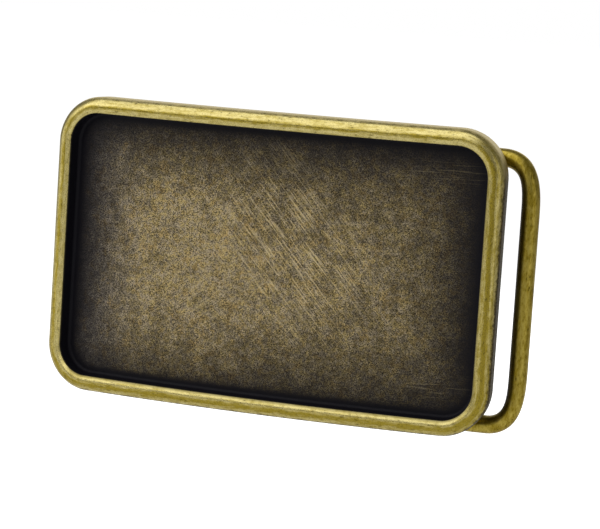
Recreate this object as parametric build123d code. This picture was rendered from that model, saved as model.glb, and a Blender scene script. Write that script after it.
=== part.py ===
from build123d import *
import math
import os

# Belt buckle blank with a swivel loop, as worn: +Z up, +X to the onlooker's right, the face towards -Y.
# The origin is at the middle of the buckle's length and height, level with the tray's back edge,
# where the belt lies. All lengths are in millimetres and all angles in degrees.
#
# The face is bowed about an upright axis behind it. The bow stops where the rounded corners begin,
# and the last stretch at each end carries on straight, along the tangent.

# Tray: the face casting
recess_length = 80.0
recess_height = 48.4
recess_corner_radius = 5.6
recess_depth = 3.0
recess_fillet = 0.6
rim_width = 3.0
bead_radius = 1.9
tray_thickness = 5.0
bow_radius = 270.0
floor_thickness = 1.4
back_land_width = 2.4
back_edge_radius = 0.5
inner_edge_radius = 0.2

# Swivel loop: one closed ring of round section, with soft outer and squarer inner corners
loop_bar_spacing = 14.4
loop_arm_spacing = 47.7
loop_section_radius = 1.65
front_corner_length = 12.5
rear_corner_length = 7.5
outer_corner_power = 3.0
inner_corner_power = 4.0
corner_steps = 8
loop_drop = 1.5

# Hinge: a strip rolled round the loop's rear bar, its flat foot on a boss
hinge_x = 31.5
hinge_y = 5.5
running_clearance = 0.05
sheet_thickness = 1.2
sheet_edge_chamfer = 0.15
bracket_length = 32.6
bracket_foot_width = 10.0
bracket_foot_corner = 2.5
roll_angle = 300.0
hinge_boss_margin = 0.9
hinge_rivet_count = 3
hinge_rivet_spacing = 11.0
hinge_rivet_setback = 6.2

# Belt hook: a leaning peg on a round-ended plate, which sits on a boss
hook_x = -27.0
hook_plate_length = 26.0
hook_plate_width = 11.0
hook_boss_height = 1.5
hook_boss_margin = 0.8
hook_rivet_count = 2
hook_rivet_spacing = 18.0
hook_foot_radius = 3.2
hook_foot_thickness = 0.7
hook_tenon_radius = 1.5
hook_neck_radius = 1.75
hook_neck_length = 4.8
hook_bend_radius = 3.5
hook_lean = 30.0

# Rivets
rivet_radius = 1.0
rivet_depth = 1.9
rivet_head_radius = 1.9
rivet_head_height = 0.9
rivet_tip_chamfer = 0.2
hole_clearance = 0.03

# Worked out
bow_axis_y = bow_radius - tray_thickness
bow_axis = Axis((0, bow_axis_y, 0), (0, 0, 1))
half_recess_height = recess_height / 2
corner_height = half_recess_height - recess_corner_radius
corner_angle = math.degrees((recess_length / 2 - recess_corner_radius) / bow_radius)
field_depth = recess_depth + floor_thickness
knuckle_bore = loop_section_radius + running_clearance
knuckle_radius = knuckle_bore + sheet_thickness
hinge_boss_y = hinge_y - knuckle_radius
past_surface = 1.0


def bow_station(angle):
    """Plane on the bowed face: local X along the face, local Y up, local Z out of the face."""
    turn = math.radians(angle)
    place = (bow_radius * math.sin(turn), bow_axis_y - bow_radius * math.cos(turn), 0)
    along = (math.cos(turn), math.sin(turn), 0)
    outward = (math.sin(turn), -math.cos(turn), 0)
    return Plane(origin=place, x_dir=along, z_dir=outward)


def tray_section(inboard):
    """Tray's cross-section, from the length inboard inside the recess wall to the outer wall.

    Its first axis points out from the recess wall and its second axis out of the face.
    """
    bead_x = rim_width - bead_radius
    bead_y = -math.sqrt(bead_radius**2 - bead_x**2)
    crown = (bead_x, bead_y + bead_radius)
    bead_side = (rim_width, bead_y)
    wall_top = (0, 0)
    wall_foot = (0, -recess_depth + recess_fillet)
    floor_edge = (-recess_fillet, -recess_depth)
    floor_start = (-inboard, -recess_depth)
    back_corner = (rim_width, -tray_thickness)
    land_edge = (rim_width - back_land_width, -tray_thickness)
    field_edge = (land_edge[0] - (tray_thickness - field_depth), -field_depth)
    field_start = (-inboard, -field_depth)
    outline = [
        Line(floor_start, floor_edge),
        RadiusArc(floor_edge, wall_foot, -recess_fillet),
        Line(wall_foot, wall_top),
        RadiusArc(wall_top, crown, bead_radius),
        RadiusArc(crown, bead_side, bead_radius),
        Polyline(bead_side, back_corner, land_edge, field_edge, field_start, floor_start),
    ]
    section = make_face(Curve() + outline)
    section = fillet(section.vertices().sort_by_distance(back_corner)[0], back_edge_radius)
    return fillet(section.vertices().sort_by_distance(wall_top)[0], inner_edge_radius)


def tray_quarter():
    """Upper right quarter of the tray: bowed long side, straight end and round corner."""
    end = bow_station(corner_angle)
    middle_top = bow_station(0).from_local_coords((0, half_recess_height, 0))
    long_plane = Plane(origin=middle_top, x_dir=(0, 0, 1), z_dir=(1, 0, 0))
    long_side = revolve(long_plane * tray_section(half_recess_height), bow_axis, corner_angle)
    wall_place = end.from_local_coords((recess_corner_radius, 0, 0))
    end_plane = Plane(origin=wall_place, x_dir=end.x_dir, z_dir=-end.y_dir)
    end_section = end_plane * tray_section(recess_corner_radius)
    end_side = extrude(end_section, corner_height, dir=(0, 0, 1))
    corner_axis = Axis(end.from_local_coords((0, corner_height, 0)), end.z_dir)
    corner = revolve(Pos(0, 0, corner_height) * end_section, corner_axis, 90)
    return long_side + end_side + corner


def bar_along_y(x, z, radius, start_y, length):
    """Round bar along +Y from start_y."""
    base = Plane(origin=(x, start_y, z), z_dir=(0, 1, 0))
    return base * Cylinder(radius, length, align=(Align.CENTER, Align.CENTER, Align.MIN))


def flat_boss(outline, top_y):
    """Boss on the tray's back with a flat top at top_y.

    It is cut off half-way through the floor, so that nothing shows in front.
    """
    block = Pos(0, top_y, 0) * extrude(outline, tray_thickness)
    mid_floor_radius = bow_radius - recess_depth - floor_thickness / 2
    return block & Pos(0, bow_axis_y, 0) * Cylinder(mid_floor_radius, recess_height)


def rivet_places(x, spacing, count):
    """X and Z of an upright row of rivets about mid-height."""
    lowest = -spacing * (count - 1) / 2
    return [(x, lowest + spacing * index) for index in range(count)]


hinge_rivets_at = rivet_places(hinge_x - hinge_rivet_setback, hinge_rivet_spacing, hinge_rivet_count)
hook_rivets_at = rivet_places(hook_x, hook_rivet_spacing, hook_rivet_count)


def blind_hole(x, z, top_y):
    """Rivet hole in a boss, a little wider and deeper than the rivet."""
    depth = rivet_depth + hole_clearance
    return bar_along_y(x, z, rivet_radius + hole_clearance, top_y - depth, depth + past_surface)


def through_hole(x, z, shank_radius, front_y):
    """Hole right through a plate whose front is at front_y."""
    length = sheet_thickness + 2 * past_surface
    return bar_along_y(x, z, shank_radius + hole_clearance, front_y - past_surface, length)


def hook_plate_outline(margin):
    """Upright round-ended outline of the hook's plate, grown by a margin."""
    slot = SlotOverall(hook_plate_length + 2 * margin, hook_plate_width + 2 * margin, rotation=90)
    return Plane.XZ * (Pos(hook_x, 0) * slot)


def hinge_boss_outline():
    """Outline of the boss under the bracket's foot and knuckle."""
    width = bracket_foot_width + 2 * hinge_boss_margin
    height = bracket_length + 2 * hinge_boss_margin
    middle = hinge_x - bracket_foot_width / 2
    return Plane.XZ * (Pos(middle, 0) * RectangleRounded(width, height, bracket_foot_corner))


def face_tray():
    """One casting: bead rim, side wall, recess floor, back land and two bosses with blind holes."""
    quarter = tray_quarter()
    right_half = quarter + mirror(quarter, Plane.XY)
    tray = right_half + mirror(right_half, Plane.YZ)
    tray += flat_boss(hinge_boss_outline(), hinge_boss_y)
    tray += flat_boss(hook_plate_outline(hook_boss_margin), hook_boss_height)
    for x, z in hinge_rivets_at:
        tray -= blind_hole(x, z, hinge_boss_y)
    for x, z in hook_rivets_at:
        tray -= blind_hole(x, z, hook_boss_height)
    return tray


def rivet(x, z, head_y):
    """Dome-head rivet, its head seated at head_y on a plate, its shank in the boss under the plate."""
    shank_length = sheet_thickness + rivet_depth
    shank = bar_along_y(x, z, rivet_radius, head_y - shank_length, shank_length)
    shank = chamfer(shank.edges().sort_by(Axis.Y)[0], rivet_tip_chamfer)
    dome_radius = (rivet_head_radius**2 + rivet_head_height**2) / (2 * rivet_head_height)
    ball = Pos(x, head_y + rivet_head_height - dome_radius, z) * Sphere(dome_radius)
    dome = ball & bar_along_y(x, z, dome_radius, head_y, rivet_head_height)
    return shank + dome


def rivet_row(places, head_y):
    """All the rivets of one plate, as separate solids."""
    return Compound([rivet(x, z, head_y) for x, z in places])


def corner_reach(turn, half_width, half_length, power):
    """Distance from a corner's centre to its superelliptic outline, turn radians from local X."""
    across = (math.cos(turn) / half_width) ** power
    along = (math.sin(turn) / half_length) ** power
    return (across + along) ** (-1 / power)


def loop_corner(length):
    """Quarter of the loop's end, from local +X, where a bar ends, to local +Y, at mid-end.

    The outer outline is rounder than the inner one, so the section thins on the diagonal.
    """
    width = loop_bar_spacing / 2 + loop_section_radius
    wire = 2 * loop_section_radius
    sections = []
    for step in range(corner_steps + 1):
        turn = math.pi / 2 * step / corner_steps
        outer = corner_reach(turn, width, length, outer_corner_power)
        inner = corner_reach(turn, width - wire, length - wire, inner_corner_power)
        ray = Vector(math.cos(turn), math.sin(turn))
        place = Plane(origin=ray * (outer + inner) / 2, x_dir=ray, z_dir=(-ray.Y, ray.X, 0))
        sections.append(place * Ellipse((outer - inner) / 2, loop_section_radius))
    return loft(sections)


def swivel_loop():
    """Closed ring: rear bar on the hinge axis, front bar for the belt, and rounded ends.

    It rests at the lower end of its play along the hinge.
    """
    half_spacing = loop_bar_spacing / 2
    half_length = loop_arm_spacing / 2 + loop_section_radius
    ring = Part()
    for side, corner_length in ((1, front_corner_length), (-1, rear_corner_length)):
        straight = half_length - corner_length
        bar = Pos(half_spacing, 0) * Rot(90, 0, 0) * Cylinder(loop_section_radius, 2 * straight)
        corner = Pos(0, straight) * loop_corner(corner_length)
        half_ring = bar + corner + mirror(corner, Plane.XZ)
        ring += half_ring if side == 1 else mirror(half_ring, Plane.YZ)
    middle = (hinge_x + half_spacing, hinge_y, -loop_drop)
    return Plane(origin=middle, x_dir=(1, 0, 0), z_dir=(0, -1, 0)) * ring


def hinge_bracket():
    """Strip rolled round the loop's rear bar, with a flat foot on its boss towards mid-length."""
    axis = Vector(hinge_x, hinge_y)
    toe_x = hinge_x - bracket_foot_width
    outer_roll = CenterArc(axis, knuckle_radius, -90, roll_angle)
    inner_roll = CenterArc(axis, knuckle_bore, -90, roll_angle)
    foot_back = hinge_boss_y + sheet_thickness
    outline = [
        outer_roll,
        Line(outer_roll @ 1, inner_roll @ 1),
        inner_roll,
        Polyline(inner_roll @ 0, (toe_x, foot_back), (toe_x, hinge_boss_y), outer_roll @ 0),
    ]
    strip = extrude(make_face(Curve() + outline), bracket_length / 2, both=True)
    toe_corners = strip.edges().filter_by(Axis.Y).group_by(Axis.X)[0]
    strip = fillet(toe_corners, bracket_foot_corner)
    end_edges = strip.faces().filter_by(Axis.Z).edges().filter_by(Axis.Y, reverse=True)
    strip = chamfer(end_edges, sheet_edge_chamfer)
    for x, z in hinge_rivets_at:
        strip -= through_hole(x, z, rivet_radius, hinge_boss_y)
    return strip


def hook_plate():
    """Round-ended plate with two rivet holes and the hook's hole between them."""
    plate = Pos(0, hook_boss_height, 0) * extrude(hook_plate_outline(0), -sheet_thickness)
    plate = chamfer(plate.faces().sort_by(Axis.Y)[-1].edges(), 2 * sheet_edge_chamfer)
    for x, z in hook_rivets_at:
        plate -= through_hole(x, z, rivet_radius, hook_boss_height)
    return plate - through_hole(hook_x, 0, hook_tenon_radius, hook_boss_height)


def belt_hook():
    """Peg with a tenon through its plate, a round foot and a leaning neck with a domed tip.

    It leans towards the loop, against the pull of the belt.
    """
    plate_back = hook_boss_height + sheet_thickness
    foot_back = plate_back + hook_foot_thickness
    tenon = bar_along_y(hook_x, 0, hook_tenon_radius, hook_boss_height, sheet_thickness)
    foot = bar_along_y(hook_x, 0, hook_foot_radius, plate_back, hook_foot_thickness)
    foot = fillet(foot.edges().sort_by(Axis.Y)[-1], hook_foot_thickness / 2)
    neck_root = Plane(origin=(hook_x, foot_back, 0), z_dir=(0, 1, 0)) * Circle(hook_neck_radius)
    bend_axis = Axis((hook_x + hook_bend_radius, foot_back, 0), (0, 0, -1))
    bend = revolve(neck_root, bend_axis, hook_lean)
    lean = math.radians(hook_lean)
    bend_shift = hook_bend_radius * (1 - math.cos(lean))
    bend_rise = hook_bend_radius * math.sin(lean)
    bend_end = (hook_x + bend_shift, foot_back + bend_rise, 0)
    leaning = Plane(origin=bend_end, z_dir=(math.sin(lean), math.cos(lean), 0))
    neck = leaning * extrude(Circle(hook_neck_radius), hook_neck_length)
    tip = leaning * Pos(0, 0, hook_neck_length) * Sphere(hook_neck_radius)
    return tenon + foot + bend + neck + tip


nodes = {
    "face_tray": face_tray(),
    "swivel_loop": swivel_loop(),
    "hinge_bracket": hinge_bracket(),
    "hinge_rivets": rivet_row(hinge_rivets_at, hinge_boss_y + sheet_thickness),
    "hook_plate": hook_plate(),
    "hook_plate_rivets": rivet_row(hook_rivets_at, hook_boss_height + sheet_thickness),
    "belt_hook": belt_hook(),
}

os.makedirs("parts", exist_ok=True)
for name, shape in nodes.items():
    export_step(shape, f"parts/{name}.step")
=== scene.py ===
import math

import bpy
from mathutils import Matrix, Vector


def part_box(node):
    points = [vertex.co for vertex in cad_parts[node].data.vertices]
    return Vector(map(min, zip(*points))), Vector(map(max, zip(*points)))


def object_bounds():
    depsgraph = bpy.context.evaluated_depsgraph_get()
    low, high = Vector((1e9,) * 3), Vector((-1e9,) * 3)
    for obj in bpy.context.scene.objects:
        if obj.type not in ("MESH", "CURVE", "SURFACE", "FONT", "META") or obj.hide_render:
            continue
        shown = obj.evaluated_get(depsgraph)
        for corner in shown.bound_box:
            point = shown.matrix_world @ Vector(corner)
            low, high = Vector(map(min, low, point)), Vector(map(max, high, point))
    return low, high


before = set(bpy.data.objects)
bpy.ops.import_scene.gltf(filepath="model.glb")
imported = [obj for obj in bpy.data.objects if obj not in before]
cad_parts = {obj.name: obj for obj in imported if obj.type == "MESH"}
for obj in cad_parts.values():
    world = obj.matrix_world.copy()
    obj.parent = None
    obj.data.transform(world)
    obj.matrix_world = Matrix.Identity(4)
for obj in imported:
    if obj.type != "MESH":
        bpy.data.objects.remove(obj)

# Looks of an antique brass belt buckle with a swivel loop: camera, softboxes and procedural finishes.
# Everything is in metres in the part's own frame: +Z up, +X towards the loop, the face towards -Y.
# Inside a material the coordinates are turned into millimetres first, so its lengths are in
# millimetres and the scales of its noises are in features per millimetre.

cad_low, cad_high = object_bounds()
tray_low, tray_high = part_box("face_tray")
loop_low, loop_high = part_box("swivel_loop")
millimetres_per_metre = 1000.0

# Camera, with its angles in degrees
lens_mm = 158.4
sensor_mm = 36.0
camera_azimuth = 19.968
camera_elevation = 6.675
camera_roll = 3.782
camera_distance = 0.46783
camera_aim = Vector((0.00742, -0.005, 0.00087))
camera_near = 0.01
camera_far = 50.0

# White sheet below the buckle and the world round it, with the brightness of each to the camera
# and in reflections
sheet_drop = 0.10
sheet_size = 12.0
sheet_seen = 0.85
sheet_reflected = 0.18
world_seen = 1.0
world_reflected = 0.24

# Softboxes: name, direction from the buckle, width and height, and the radiance of its face
softbox_distance = 1.0
softboxes = (
    ("top_softbox", (-0.30, -0.62, 0.72), (1.4, 1.6), 1.30),
    ("left_softbox", (-0.93, -0.40, 0.05), (0.7, 1.0), 0.75),
    ("right_softbox", (0.90, -0.50, 0.0), (0.6, 1.0), 0.50),
    ("back_softbox", (-0.15, 0.90, 0.38), (1.3, 0.8), 0.90),
)

# Face, in millimetres. It is bowed about an upright axis behind it, and its bead rim goes round a recess.
bow_radius = 270.0
tray_thickness = 5.0
bow_axis_y = bow_radius - tray_thickness
rim_width = 3.0
bead_radius = 1.9
bead_crown = rim_width - bead_radius
recess_length = 80.0
recess_depth = 3.0
tray_height = (tray_high.z - tray_low.z) * millimetres_per_metre
recess_half = (recess_length / 2, tray_height / 2 - rim_width)
recess_corner = 5.6

# Loop, in millimetres: its outline in the face plane, with the round corner that is nearest to its own
loop_middle = (loop_low + loop_high) / 2 * millimetres_per_metre
loop_half = (loop_high - loop_low) / 2 * millimetres_per_metre
loop_corner = 8.0

# Scratches and fine hatching on the recess floor: degrees from its length, then scales across and along
main_scratches = (-47.0, 3.3, 0.13)
cross_scratches = (36.0, 3.0, 0.10)
level_scratches = (2.0, 3.4, 0.12)
main_hatching = (-46.0, 6.5, 1.0)
cross_hatching = (38.0, 6.5, 1.0)

# Bump depths, and how far dirt reaches out of a crevice
tray_bump = 0.000016
loop_bump = 0.000018
fitting_bump = 0.00002
crevice_reach = 0.0012

# Rays for the worn edges and the crevices, and the weak gloss of the patina
detail_samples = 6
patina_gloss = 0.09


class Graph:
    """One node tree, written as expressions. A socket or a number can be given wherever a value goes."""

    def __init__(self, tree):
        self.tree = tree
        tree.nodes.clear()

    def node(self, kind, inputs, output=0, **settings):
        """New node with its settings made and its inputs set or linked. Gives one of its outputs."""
        made = self.tree.nodes.new(kind)
        for name, value in settings.items():
            setattr(made, name, value)
        for name, value in inputs.items():
            if isinstance(value, bpy.types.NodeSocket):
                self.tree.links.new(value, made.inputs[name])
            else:
                made.inputs[name].default_value = value
        return made.outputs[output] if len(made.outputs) else made

    def math(self, operation, a, b=0.0, clamp=False):
        return self.node("ShaderNodeMath", {0: a, 1: b}, operation=operation, use_clamp=clamp)

    def fold(self, operation, first, *others):
        """One operation carried through two or more values."""
        for other in others:
            first = self.math(operation, first, other)
        return first

    def add(self, *values):
        return self.fold("ADD", *values)

    def times(self, *values):
        return self.fold("MULTIPLY", *values)

    def highest(self, *values):
        return self.fold("MAXIMUM", *values)

    def subtract(self, a, b):
        return self.math("SUBTRACT", a, b)

    def absolute(self, value):
        return self.math("ABSOLUTE", value)

    def without(self, value, share):
        """Value taken down to 0 as share goes from 0 to 1."""
        return self.times(value, self.subtract(1.0, share))

    def clamped(self, value, factor=1.0):
        """Value times factor, kept between 0 and 1."""
        return self.math("MULTIPLY", value, factor, clamp=True)

    def ramp(self, value, start, end, low=0.0, high=1.0):
        """Smooth step from low at start to high at end."""
        inputs = {"Value": value, "From Min": start, "From Max": end, "To Min": low, "To Max": high}
        return self.node("ShaderNodeMapRange", inputs, interpolation_type="SMOOTHSTEP")

    def ease(self, share, low, high):
        """Smooth step from low at 0 to high at 1."""
        return self.ramp(share, 0.0, 1.0, low, high)

    def spread(self, noise, low=0.0, high=1.0):
        """Smooth step from low to high over most of a noise's range."""
        return self.ramp(noise, 0.3, 0.7, low, high)

    def bell(self, value, middle, half_width):
        """1 at the middle, falling smoothly to 0 at half_width on both sides."""
        away = self.absolute(self.subtract(value, middle))
        return self.ramp(away, 0.0, half_width, 1.0, 0.0)

    def mix(self, share, first, second):
        """Colour between first and second. A Mix node's colours are its inputs 6 and 7 and its output 2."""
        inputs = {0: share, 6: first, 7: second}
        return self.node("ShaderNodeMix", inputs, 2, data_type="RGBA")

    def blend(self, share, first, second):
        """Plain number between first and second."""
        return self.node("ShaderNodeMix", {0: share, 2: first, 3: second}, 0, data_type="FLOAT")

    def vector(self, x, y, z):
        return self.node("ShaderNodeCombineXYZ", {0: x, 1: y, 2: z})

    def split(self, place):
        """X, Y and Z of a vector as three sockets."""
        parts = self.tree.nodes.new("ShaderNodeSeparateXYZ")
        self.tree.links.new(place, parts.inputs[0])
        return parts.outputs

    def noise(self, place, scale, detail, roughness, distortion=0.0):
        """Perlin noise, mostly between 0.3 and 0.7."""
        inputs = {
            "Vector": place,
            "Scale": scale,
            "Detail": detail,
            "Roughness": roughness,
            "Distortion": distortion,
        }
        return self.node("ShaderNodeTexNoise", inputs)

    def streaks(self, place, angle, across, along):
        """Noise drawn out into straight streaks in the face plane, with one scale across and one along."""
        inputs = {
            "Vector": place,
            "Rotation": (0.0, 0.0, math.radians(angle)),
            "Scale": (1 / along, 1 / across, 1.0),
        }
        turned = self.node("ShaderNodeMapping", inputs, vector_type="TEXTURE")
        return self.noise(turned, 1.0, 2.0, 0.6)


def millimetres(graph):
    """The piece's own coordinates in millimetres."""
    own = graph.node("ShaderNodeTexCoord", {}, "Object")
    return graph.node("ShaderNodeVectorMath", {0: own, "Scale": millimetres_per_metre}, operation="SCALE")


def outline_distance(graph, x, z, half, corner):
    """Distance outside a rounded rectangle in the face plane, negative inside it."""
    beyond_x = graph.subtract(graph.absolute(x), half[0] - corner)
    beyond_z = graph.subtract(graph.absolute(z), half[1] - corner)
    outside_x = graph.highest(beyond_x, 0.0)
    outside_z = graph.highest(beyond_z, 0.0)
    squares = graph.add(graph.times(outside_x, outside_x), graph.times(outside_z, outside_z))
    flat_part = graph.math("MINIMUM", graph.highest(beyond_x, beyond_z), 0.0)
    return graph.subtract(graph.add(graph.math("SQRT", squares), flat_part), corner)


def new_material(name):
    material = bpy.data.materials.new(name)
    material.use_nodes = True
    return material, Graph(material.node_tree)


def surface(graph, colour, metallic, roughness, height, bump_depth):
    """Principled shader and its bump, joined to the output. height is 0 to 1, bump_depth is in metres."""
    normal = graph.node("ShaderNodeBump", {"Height": height, "Distance": bump_depth, "Strength": 1.0})
    shader = graph.node(
        "ShaderNodeBsdfPrincipled",
        {
            "Base Color": colour,
            "Metallic": metallic,
            "Roughness": roughness,
            "Specular IOR Level": patina_gloss,
            "Normal": normal,
        },
    )
    graph.node("ShaderNodeOutputMaterial", {"Surface": shader})


def rgb(red, green, blue):
    return (red, green, blue, 1.0)


WHITE = rgb(1.0, 1.0, 1.0)
SHEET_WHITE = rgb(0.8, 0.8, 0.8)
BRIGHT_BRASS = rgb(0.66, 0.56, 0.225)
OLIVE_BRASS = rgb(0.35, 0.265, 0.032)
FLOOR_BRASS = rgb(0.52, 0.40, 0.165)
FLOOR_UMBER = rgb(0.46, 0.32, 0.13)
FLOOR_GREY = rgb(0.42, 0.37, 0.32)
BLACK_PATINA = rgb(0.0055, 0.005, 0.0075)
UMBER_PATINA = rgb(0.0085, 0.0065, 0.0042)
BROWN_PATINA = rgb(0.035, 0.027, 0.013)
WALL_PATINA = rgb(0.16, 0.125, 0.055)
# Colour of the painted highlight on the upward-facing top wall
TOP_WALL_HIGHLIGHT_BRASS = rgb(0.66, 0.55, 0.25)
SCRATCH_BRASS = rgb(0.66, 0.54, 0.30)
FITTING_BRASS = rgb(0.50, 0.41, 0.16)
FITTING_OLIVE = rgb(0.30, 0.235, 0.06)
LOOP_BRASS = rgb(0.46, 0.355, 0.07)
LOOP_OLIVE = rgb(0.25, 0.178, 0.012)


def bowed_coordinates(graph, place):
    """Distance along the bow, Z, and distance in front of the top of the recess wall."""
    x, y, z = graph.split(place)
    from_axis = graph.subtract(bow_axis_y, y)
    along = graph.times(graph.math("ARCTAN2", x, from_axis), bow_radius)
    reach = graph.math("SQRT", graph.add(graph.times(x, x), graph.times(from_axis, from_axis)))
    return along, z, graph.subtract(reach, bow_radius)


def floor_pits(graph, flat):
    """Finest texture of the tray: pits of the casting with a little hatching where it was rubbed."""
    pits = graph.noise(flat, 5.4, 2.0, 0.9)
    hatching = graph.blend(0.5, graph.streaks(flat, *main_hatching), graph.streaks(flat, *cross_hatching))
    return graph.blend(0.22, pits, hatching)


def floor_rubbing_and_shade(graph, flat, along, z, edge, cloud):
    """How hard the floor was rubbed, with painted shade in it: most in its middle, least by the walls and in
    the corners, where painted shade darkens it.
    """
    # Painted shade: the floor is kept darker near the walls and in the corners, where the walls shade it,
    # with less of it along the long walls and least along the lower one. The rest of this mask is real
    # rubbing.
    long_walls = graph.add(graph.ramp(z, -12.0, -22.0, 0.0, 2.0), graph.ramp(z, 14.0, 22.0, 0.0, 0.7))
    inside = graph.subtract(graph.times(long_walls, graph.ramp(edge, -0.8, -2.0)), edge)
    far_along = graph.ramp(graph.absolute(along), 22.0, 39.0)
    in_corner = graph.times(far_along, graph.ramp(graph.absolute(z), 9.0, 23.0))
    broad = graph.noise(flat, 0.09, 3.0, 0.55, 0.8)
    from_walls = graph.math("POWER", graph.ramp(inside, 0.5, 20.0), 0.72)
    towards_loop = graph.ramp(along, -25.0, 36.0, 1.08, 0.62)
    far_end = graph.ramp(along, -42.0, -14.0, 0.80, 1.0)
    downwards = graph.ramp(z, 20.0, -20.0, 0.92, 1.06)
    uneven = graph.times(graph.ramp(broad, 0.32, 0.68, 0.86, 1.12), graph.ramp(cloud, 0.34, 0.66, 0.78, 1.2))
    rubbing_and_shade = graph.times(from_walls, towards_loop, far_end, downwards, uneven)
    return graph.without(rubbing_and_shade, graph.times(in_corner, 0.55))


def floor_scratches(graph, flat, along, z, cloud):
    """Bright scratches, 0 to 1, and the dark gouges beside the main ones."""
    diagonal = math.sqrt(0.5)
    rising = graph.times(graph.add(along, z), diagonal)
    falling = graph.times(graph.subtract(along, z), diagonal)
    patch = graph.times(graph.bell(rising, 5.0, 14.0), graph.bell(falling, 2.0, 20.0))
    patch = graph.math("POWER", graph.times(patch, graph.ramp(cloud, 0.40, 0.56, 0.3, 1.0)), 0.55)
    streak = graph.streaks(flat, *main_scratches)
    main = graph.times(graph.ramp(streak, 0.555, 0.61), patch)
    gouges = graph.times(graph.ramp(streak, 0.46, 0.40), patch)
    cross = graph.ramp(graph.streaks(flat, *cross_scratches), 0.56, 0.64)
    cross = graph.times(cross, graph.bell(along, -15.0, 19.0), graph.bell(z, -8.0, 16.0))
    level = graph.ramp(graph.streaks(flat, *level_scratches), 0.57, 0.66)
    level = graph.times(level, graph.bell(along, 32.0, 10.0), graph.bell(graph.absolute(z), 19.0, 3.5))
    return graph.highest(main, graph.times(cross, 0.35), graph.times(level, 0.16)), gouges


def floor_wear(graph, flat, rubbing_and_shade, pits, grain, scratches, gouges):
    """How far the black is off the floor, 0 to 1: in specks, most where it was rubbed and away from the
    painted wall shade, and in scratches.
    """
    blotches = graph.ramp(graph.noise(flat, 0.8, 2.0, 0.6), 0.34, 0.66, 0.8, 1.2)
    specks = graph.times(graph.ramp(pits, 0.40, 0.62, 0.0, 2.1), graph.ramp(grain, 0.32, 0.68, 0.7, 1.3))
    wear_and_shade = graph.without(graph.times(rubbing_and_shade, specks, blotches), graph.times(gouges, 0.4))
    return graph.clamped(graph.add(wear_and_shade, graph.times(scratches, 0.5)), 0.60)


def floor_colour(graph, flat, along, rubbing_and_shade, wear_and_shade, scratches):
    """Black patina, warmer where it was rubbed and away from the painted wall shade, over grey, golden and
    umber brass.
    """
    golden = graph.ramp(along, -42.0, -22.0, 0.1, 1.0)
    tint = graph.times(golden, graph.ramp(graph.noise(flat, 1.1, 3.0, 0.75), 0.38, 0.62, 0.45, 1.0))
    rust = graph.ramp(graph.noise(flat, 0.55, 4.0, 0.75), 0.50, 0.68, 0.0, 0.75)
    brass = graph.mix(rust, graph.mix(tint, FLOOR_GREY, FLOOR_BRASS), FLOOR_UMBER)
    warmth = graph.times(golden, graph.ramp(rubbing_and_shade, 0.1, 0.6))
    colour = graph.mix(wear_and_shade, graph.mix(warmth, BLACK_PATINA, UMBER_PATINA), brass)
    return graph.mix(graph.times(scratches, 0.55), colour, SCRATCH_BRASS)


def rim_streaks(graph, along, z, edge, length, width):
    """Noise drawn out along the rim into streaks of about that size, turned with it at the corners."""
    drift = 0.1
    across = graph.times(edge, 1 / width)
    level_place = graph.vector(graph.times(along, 1 / length), across, graph.times(z, drift))
    upright_place = graph.vector(graph.times(z, 1 / length), across, graph.times(along, drift))
    level = graph.noise(level_place, 1.0, 4.0, 0.65)
    upright = graph.noise(upright_place, 1.0, 4.0, 0.65)
    past_end = graph.subtract(graph.absolute(along), recess_half[0] - recess_corner)
    past_top = graph.subtract(graph.absolute(z), recess_half[1] - recess_corner)
    return graph.blend(graph.ramp(graph.subtract(past_end, past_top), -1.5, 1.5), level, upright)


def rim_tone_and_reflection(graph, along, z, edge, mottle, streaks):
    """0 where the rim is bright, 1 where it is olive: in a painted dark reflection along the crown, in
    streaks and at the loop's end.
    """
    # Painted dark reflection: the olive line along the bead's crown stands for the dark front mirrored in
    # it. It sits further out on the bead and is wider along the bottom rim than along the top one.
    crown_middle = graph.ramp(z, -24.0, 24.0, bead_crown + 0.5, bead_crown + 0.05)
    crown_half = graph.ramp(z, -24.0, 24.0, 0.85, 0.6)
    crown = graph.times(graph.bell(edge, crown_middle, crown_half), 0.8)
    patches = graph.ramp(mottle, 0.40, 0.68, -0.1, 0.15)
    drawn = graph.ramp(streaks, 0.36, 0.66, -0.1, 0.55)
    loop_end = graph.ramp(along, 36.0, 42.0, 0.0, 0.35)
    lower_flank = graph.ramp(graph.subtract(edge, graph.times(z, 0.1)), 3.2, 5.0, 0.0, 0.3)
    return graph.clamped(graph.add(crown, patches, drawn, loop_end, lower_flank))


def rim_dirt(graph, along, z, edge, pits, mottle):
    """Share of brown patina on the rim: flecks, grit, and a line left beside the recess."""
    ticks = graph.ramp(rim_streaks(graph, along, z, edge, 0.8, 0.22), 0.54, 0.66)
    flecks = graph.times(ticks, graph.ramp(mottle, 0.36, 0.60, 0.2, 1.0), 0.7)
    grit = graph.ramp(pits, 0.51, 0.39, 0.0, 0.3)
    inner_line = graph.times(
        graph.ramp(edge, 0.1, 0.65, 0.6, 0.0),
        graph.ramp(z, 18.0, 24.0, 1.0, 0.0),
        graph.ramp(along, -39.5, -37.0),
    )
    return graph.highest(flecks, grit, inner_line)


def outer_wall(graph, z, edge, grain, mottle):
    """Where the outer wall's look begins, its colour, and how far its upper side is painted bright brass, a
    painted highlight for the light it catches from above.
    """
    share = graph.ramp(graph.add(edge, graph.spread(mottle, -0.12, 0.12)), 2.55, 2.95)
    # Painted highlight: the upward-facing top of the outer wall is given bright metallic brass in uneven
    # patches, where the other walls keep brown patina.
    top_wall_highlight = graph.times(graph.ramp(z, 17.0, 23.0), graph.spread(mottle, 0.75, 1.0))
    colour = graph.mix(graph.ramp(grain, 0.35, 0.65), BROWN_PATINA, WALL_PATINA)
    return share, graph.mix(top_wall_highlight, colour, TOP_WALL_HIGHLIGHT_BRASS), top_wall_highlight


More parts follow.
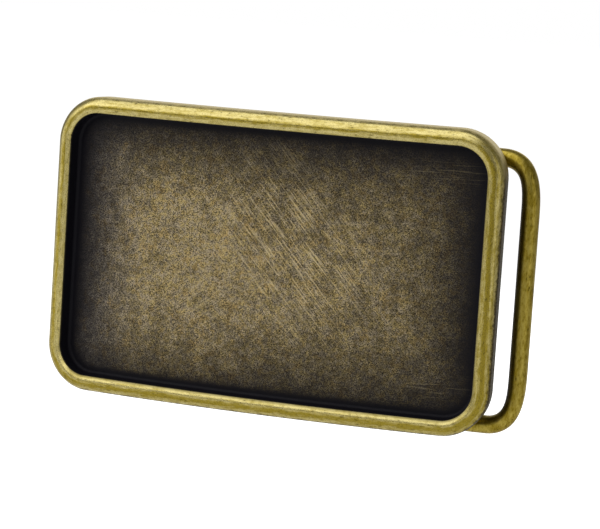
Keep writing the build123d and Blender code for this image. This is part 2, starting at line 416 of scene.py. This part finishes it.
def rim_area(graph, edge, height, mottle):
    """1 on the bead, the outer wall and patches of the back's land, 0 in the recess and behind it."""
    bead = graph.times(graph.ramp(edge, -0.02, 0.16), graph.ramp(height, -0.45, -0.02))
    flank = graph.ramp(edge, 2.0, 2.2)
    land = graph.times(
        graph.ramp(height, 0.28 - tray_thickness, 0.10 - tray_thickness),
        graph.ramp(edge, 0.3, 0.9),
        graph.ramp(mottle, 0.36, 0.60, 1.0, 0.35),
    )
    return graph.highest(bead, flank, land)


def tray_material():
    """Black-brown recess with its floor rubbed by hand and painted shade by its walls, and a polished,
    speckled bead rim with a painted dark reflection along its crown and a painted highlight on its upper
    wall.
    """
    material, graph = new_material("antique_tray")
    along, z, height = bowed_coordinates(graph, millimetres(graph))
    flat = graph.vector(along, z, height)
    edge = outline_distance(graph, along, z, recess_half, recess_corner)
    pits = floor_pits(graph, flat)
    grain = graph.noise(flat, 2.6, 2.0, 0.7)
    mottle = graph.noise(flat, 1.1, 4.0, 0.65)
    cloud = graph.noise(flat, 0.30, 3.0, 0.6)

    # Recess floor, and the plainer back behind it. The change is hidden inside the floor's thickness.
    behind = graph.ramp(height, -recess_depth - 0.4, -recess_depth - 0.8)
    rubbing_and_shade = floor_rubbing_and_shade(graph, flat, along, z, edge, cloud)
    scratches, gouges = floor_scratches(graph, flat, along, z, cloud)
    wear_and_shade = floor_wear(graph, flat, rubbing_and_shade, pits, grain, scratches, gouges)
    wear_and_shade = graph.times(wear_and_shade, graph.ease(behind, 1.0, 0.5))
    scratches = graph.without(scratches, behind)
    recess_colour = floor_colour(graph, flat, along, rubbing_and_shade, wear_and_shade, scratches)

    # Bead rim and outer wall
    streaks = rim_streaks(graph, along, z, edge, 2.6, 0.36)
    rim_colour = graph.mix(rim_tone_and_reflection(graph, along, z, edge, mottle, streaks), BRIGHT_BRASS, OLIVE_BRASS)
    rim_colour = graph.mix(rim_dirt(graph, along, z, edge, pits, mottle), rim_colour, BROWN_PATINA)
    on_wall, wall_colour, top_wall_highlight = outer_wall(graph, z, edge, grain, mottle)
    rim_colour = graph.mix(on_wall, rim_colour, wall_colour)
    rim_metal = graph.ease(graph.without(on_wall, top_wall_highlight), 1.0, 0.8)
    rim_roughness = graph.add(graph.spread(mottle, 0.22, 0.34), graph.times(on_wall, 0.25))

    on_rim = rim_area(graph, edge, height, mottle)
    colour = graph.mix(on_rim, recess_colour, rim_colour)
    roughness = graph.blend(on_rim, graph.spread(grain, 0.42, 0.56), rim_roughness)
    metallic = graph.highest(graph.math("SQRT", wear_and_shade), graph.times(on_rim, rim_metal))
    bumps = graph.add(graph.times(pits, graph.ease(on_rim, 0.6, 0.35)), graph.times(streaks, 0.2))
    bumps = graph.subtract(bumps, graph.times(scratches, 0.6))
    surface(graph, colour, metallic, roughness, bumps, tray_bump)
    return material


def loop_material():
    """Tumbled ring: olive brass with flecks, with painted shade on its inner side and black patina with
    painted shade round the opening.
    """
    material, graph = new_material("antique_loop")
    x, y, z = graph.split(millimetres(graph))
    from_middle_x = graph.subtract(x, loop_middle.x)
    from_middle_z = graph.subtract(z, loop_middle.z)
    edge = outline_distance(graph, from_middle_x, from_middle_z, (loop_half.x, loop_half.z), loop_corner)
    fine = graph.noise(graph.vector(x, y, graph.times(z, 0.35)), 3.6, 3.0, 0.75)
    mottle = graph.noise(graph.vector(x, y, graph.times(z, 0.5)), 0.9, 4.0, 0.65)
    ragged = graph.add(edge, graph.spread(mottle, -0.25, 0.25))
    on_bar = graph.ramp(graph.absolute(from_middle_z), 24.0, 19.0)
    # Painted shade on the inner side of the bars, mostly the side bars: partly the black patina of the
    # antique finish and partly the dark wall mirrored in the wire. It is black nearest the opening, brown
    # and olive further out.
    inner = graph.times(graph.ramp(ragged, -2.1, -3.1), graph.ease(on_bar, 0.05, 0.85))
    shaded = graph.times(graph.ramp(ragged, -0.9, -2.5), graph.ease(on_bar, 0.2, 1.0))
    patches = graph.ramp(mottle, 0.36, 0.64, 0.0, 0.8)
    specks = graph.ramp(fine, 0.38, 0.62, -0.1, 0.3)
    tone = graph.clamped(graph.add(patches, specks, graph.times(shaded, 0.3)))
    flecks = graph.times(graph.ramp(fine, 0.55, 0.68), graph.ramp(mottle, 0.4, 0.58), 0.7)
    colour = graph.mix(tone, LOOP_BRASS, LOOP_OLIVE)
    colour = graph.mix(graph.times(shaded, 0.5), colour, BROWN_PATINA)
    colour = graph.mix(flecks, colour, BROWN_PATINA)
    colour = graph.mix(inner, colour, BLACK_PATINA)
    roughness = graph.spread(fine, 0.28, 0.42)
    metallic = graph.ease(inner, 1.0, 0.3)
    bumps = graph.add(graph.times(fine, 0.35), graph.times(mottle, 0.65))
    surface(graph, colour, metallic, roughness, bumps, loop_bump)
    return material


def fitting_material(name, grain_scale, stain_share, edge_radius):
    """Plates, rivets and hook on the back: brown patina in crevices, rubbed through to brass on edges."""
    material, graph = new_material(name)
    place = millimetres(graph)
    fine = graph.noise(place, grain_scale, 3.0, 0.7)
    mottle = graph.noise(place, 0.35, 5.0, 0.62)
    rounded = graph.node("ShaderNodeBevel", {"Radius": edge_radius}, samples=detail_samples)
    true_normal = graph.node("ShaderNodeNewGeometry", {}, "Normal")
    normals = {0: rounded, 1: true_normal}
    agree = graph.node("ShaderNodeVectorMath", normals, "Value", operation="DOT_PRODUCT")
    rubbed = graph.ramp(graph.subtract(agree, graph.spread(fine, -0.03, 0.03)), 0.985, 0.90)
    reach = {"Distance": crevice_reach}
    open_share = graph.node("ShaderNodeAmbientOcclusion", reach, "AO", samples=detail_samples)
    crevice = graph.ramp(graph.add(open_share, graph.spread(fine, -0.08, 0.08)), 0.92, 0.55)
    stain = graph.ramp(graph.blend(0.35, mottle, fine), 0.42, 0.66, 0.0, stain_share)
    colour = graph.mix(graph.spread(mottle), FITTING_BRASS, FITTING_OLIVE)
    colour = graph.mix(graph.highest(graph.times(crevice, 0.85), stain), colour, BROWN_PATINA)
    colour = graph.mix(graph.without(rubbed, crevice), colour, BRIGHT_BRASS)
    roughness = graph.add(graph.spread(fine, 0.28, 0.40), graph.times(stain, 0.2))
    surface(graph, colour, 1.0, roughness, graph.blend(0.3, fine, mottle), fitting_bump)
    return material


def by_ray(graph, reflected, seen):
    """One strength in reflections and another straight to the camera."""
    return graph.ease(graph.node("ShaderNodeLightPath", {}, "Is Camera Ray"), reflected, seen)


def studio_world():
    """Pale surroundings: white behind the buckle, dim in reflections so that the softboxes show."""
    world = bpy.data.worlds.new("studio")
    world.use_nodes = True
    bpy.context.scene.world = world
    graph = Graph(world.node_tree)
    strength = by_ray(graph, world_reflected, world_seen)
    background = graph.node("ShaderNodeBackground", {"Color": WHITE, "Strength": strength})
    graph.node("ShaderNodeOutputWorld", {"Surface": background})


def softbox(name, direction, size, radiance):
    """Rectangular area light aimed at the buckle, with the radiance that its face shows."""
    light = bpy.data.lights.new(name, "AREA")
    light.shape = "RECTANGLE"
    light.size, light.size_y = size
    light.energy = radiance * math.pi * size[0] * size[1]
    lamp = bpy.data.objects.new(name, light)
    lamp.location = Vector(direction).normalized() * softbox_distance
    lamp.rotation_mode = "QUATERNION"
    lamp.rotation_quaternion = (-Vector(direction)).to_track_quat("-Z", "Y")
    lamp.visible_camera = False
    bpy.context.scene.collection.objects.link(lamp)


def sheet_material():
    """Plain white that glows a little, so that the floor stays pale under the buckle."""
    material, graph = new_material("white_sheet")
    shader = graph.node(
        "ShaderNodeBsdfPrincipled",
        {
            "Base Color": SHEET_WHITE,
            "Roughness": 0.9,
            "Emission Color": WHITE,
            "Emission Strength": by_ray(graph, sheet_reflected, sheet_seen),
        },
    )
    graph.node("ShaderNodeOutputMaterial", {"Surface": shader})
    return material


def pale_floor():
    """Large plain white sheet below the buckle."""
    half = sheet_size / 2
    level = cad_low.z - sheet_drop
    mesh = bpy.data.meshes.new("floor")
    corners = [(-half, -half, level), (half, -half, level), (half, half, level), (-half, half, level)]
    mesh.from_pydata(corners, [], [(0, 1, 2, 3)])
    mesh.materials.append(sheet_material())
    floor = bpy.data.objects.new("floor", mesh)
    bpy.context.scene.collection.objects.link(floor)


def main_camera():
    """Camera that looks at the face from the loop's side and a little above."""
    data = bpy.data.cameras.new("camera")
    data.lens = lens_mm
    data.sensor_width = sensor_mm
    data.clip_start = camera_near
    data.clip_end = camera_far
    camera = bpy.data.objects.new("camera", data)
    turn = Matrix.Rotation(math.radians(camera_azimuth), 4, "Z")
    tilt = Matrix.Rotation(math.radians(90 - camera_elevation), 4, "X")
    roll = Matrix.Rotation(math.radians(camera_roll), 4, "Z")
    facing = turn @ tilt @ roll
    back = facing.col[2].to_3d()
    camera.matrix_world = Matrix.Translation(camera_aim + back * camera_distance) @ facing
    bpy.context.scene.collection.objects.link(camera)
    bpy.context.scene.camera = camera


def dress(material, *names):
    """Gives the named CAD nodes that material in place of their plain one."""
    for name in names:
        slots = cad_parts[name].data.materials
        slots.clear()
        slots.append(material)


bpy.context.scene.view_settings.view_transform = "Standard"
main_camera()
studio_world()
pale_floor()
for settings in softboxes:
    softbox(*settings)

plate = fitting_material("antique_plate", grain_scale=3.0, stain_share=0.75, edge_radius=0.0003)
rivet = fitting_material("antique_rivet", grain_scale=4.0, stain_share=0.35, edge_radius=0.0003)
hook = fitting_material("antique_hook", grain_scale=3.0, stain_share=0.45, edge_radius=0.0004)
dress(tray_material(), "face_tray")
dress(loop_material(), "swivel_loop")
dress(plate, "hinge_bracket", "hook_plate")
dress(rivet, "hinge_rivets", "hook_plate_rivets")
dress(hook, "belt_hook")
